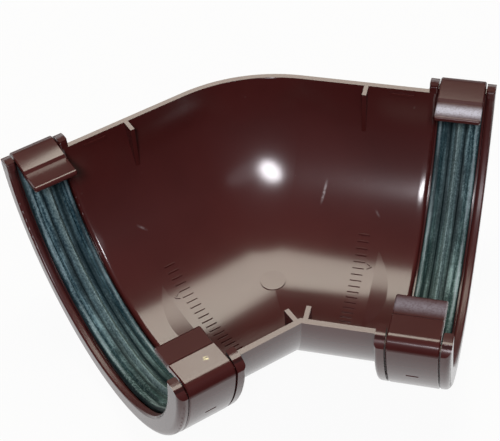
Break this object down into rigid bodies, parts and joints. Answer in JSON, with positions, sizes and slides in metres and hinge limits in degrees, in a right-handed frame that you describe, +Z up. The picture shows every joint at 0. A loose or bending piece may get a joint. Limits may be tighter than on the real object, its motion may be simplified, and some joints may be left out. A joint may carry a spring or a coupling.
{
  "type": "half-round gutter angle",
  "caption": "Obtuse half-round roof gutter corner in brown plastic, with a rubber seal and push-on retaining clips in the socket at each end.",
  "frame": {"origin": "middle of the footprint, level with the bottoms of the flanges", "axes": "+Z up out of the trough, +Y towards the rounded outer corner, +X towards the right socket"},
  "size_m": [0.1826, 0.1468, 0.0617],
  "materials": {
    "body_plastic": "gloss",
    "clip_plastic": "gloss",
    "seal_rubber": "satin"
  },
  "bodies": {
    "root": {"angle_body": "body_plastic", "seal_left": "seal_rubber", "seal_right": "seal_rubber", "clip_left_back": "clip_plastic", "clip_left_front": "clip_plastic", "clip_right_back": "clip_plastic", "clip_right_front": "clip_plastic"}
  },
  "joints": []
}
